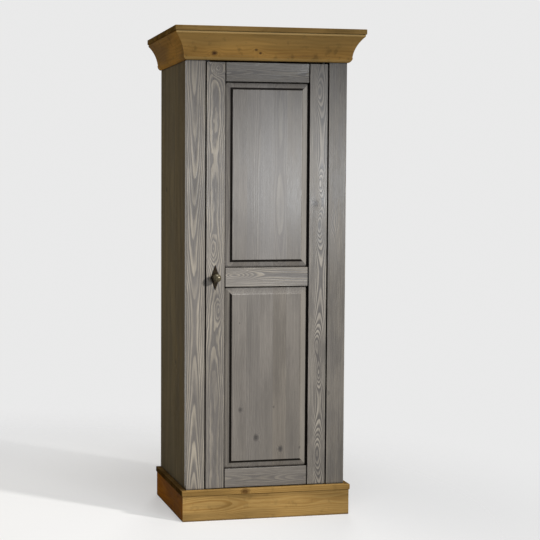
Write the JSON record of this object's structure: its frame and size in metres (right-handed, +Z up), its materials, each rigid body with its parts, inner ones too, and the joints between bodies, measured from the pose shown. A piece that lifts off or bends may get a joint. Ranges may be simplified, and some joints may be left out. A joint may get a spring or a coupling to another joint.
{
  "type": "linen cupboard",
  "caption": "Tall narrow pine cupboard with a hinged frame-and-panel door, coved cornice, box plinth, knob on a diamond plate and adjustable shelves inside.",
  "frame": {"origin": "on the floor, under the middle of the cupboard's box", "axes": "+X to the right of a person facing the door, +Y to the back, +Z up"},
  "size_m": [0.775, 0.525, 1.94],
  "materials": {
    "grey_pine": "brushed pine, grey stain, matt",
    "honey_pine": "pine, honey stain and wax, satin",
    "plain_pine": "planed pine, unfinished",
    "antique_brass": "antique, dark patina",
    "steel": "zinc plated, pivots burnished dark",
    "nylon": "black"
  },
  "bodies": {
    "carcass": {"back_board_1": "plain_pine", "back_board_2": "plain_pine", "back_board_3": "plain_pine", "back_board_4": "plain_pine", "back_board_5": "plain_pine", "back_board_6": "plain_pine", "back_board_screws": "steel", "back_bottom_rail": "plain_pine", "back_top_rail": "plain_pine", "base_board": "honey_pine", "base_dowels": "plain_pine", "catch_magnets": "steel", "cornice_front": "honey_pine", "cornice_left": "honey_pine", "cornice_right": "honey_pine", "door_stop": "grey_pine", "door_stop_screws": "steel", "pivot_case_plate_bottom": "steel", "pivot_case_plate_top": "steel", "pivot_case_screws": "steel", "pivot_pin_bottom": "steel", "pivot_thrust_washer": "nylon", "plinth_back": "plain_pine", "plinth_corner_blocks": "plain_pine", "plinth_front": "honey_pine", "plinth_left": "honey_pine", "plinth_right": "honey_pine", "post_left": "grey_pine", "post_right": "grey_pine", "shelf_1": "plain_pine", "shelf_2": "plain_pine", "shelf_3": "plain_pine", "shelf_4": "plain_pine", "shelf_pins": "steel", "side_left": "grey_pine", "side_right": "grey_pine", "top_board": "honey_pine", "top_dowels": "plain_pine", "top_rail": "grey_pine"},
    "door": {"catch_strikes": "steel", "door_panel_lower": "grey_pine", "door_panel_upper": "grey_pine", "door_rail_bottom": "grey_pine", "door_rail_middle": "grey_pine", "door_rail_top": "grey_pine", "door_stile_left": "grey_pine", "door_stile_right": "grey_pine", "knob": "antique_brass", "knob_backplate": "antique_brass", "knob_bolt": "steel", "pivot_door_plate_bottom": "steel", "pivot_door_plate_top": "steel", "pivot_door_screws": "steel", "pivot_pin_top": "steel", "strike_screws": "steel"}
  },
  "joints": [
    {"name": "door_swing", "type": "hinge", "parent": "carcass", "child": "door", "pos_m": [0.2335, -0.1925, 0.126], "axis": [0, 0, 1], "range_deg": [0, 110]}
  ]
}
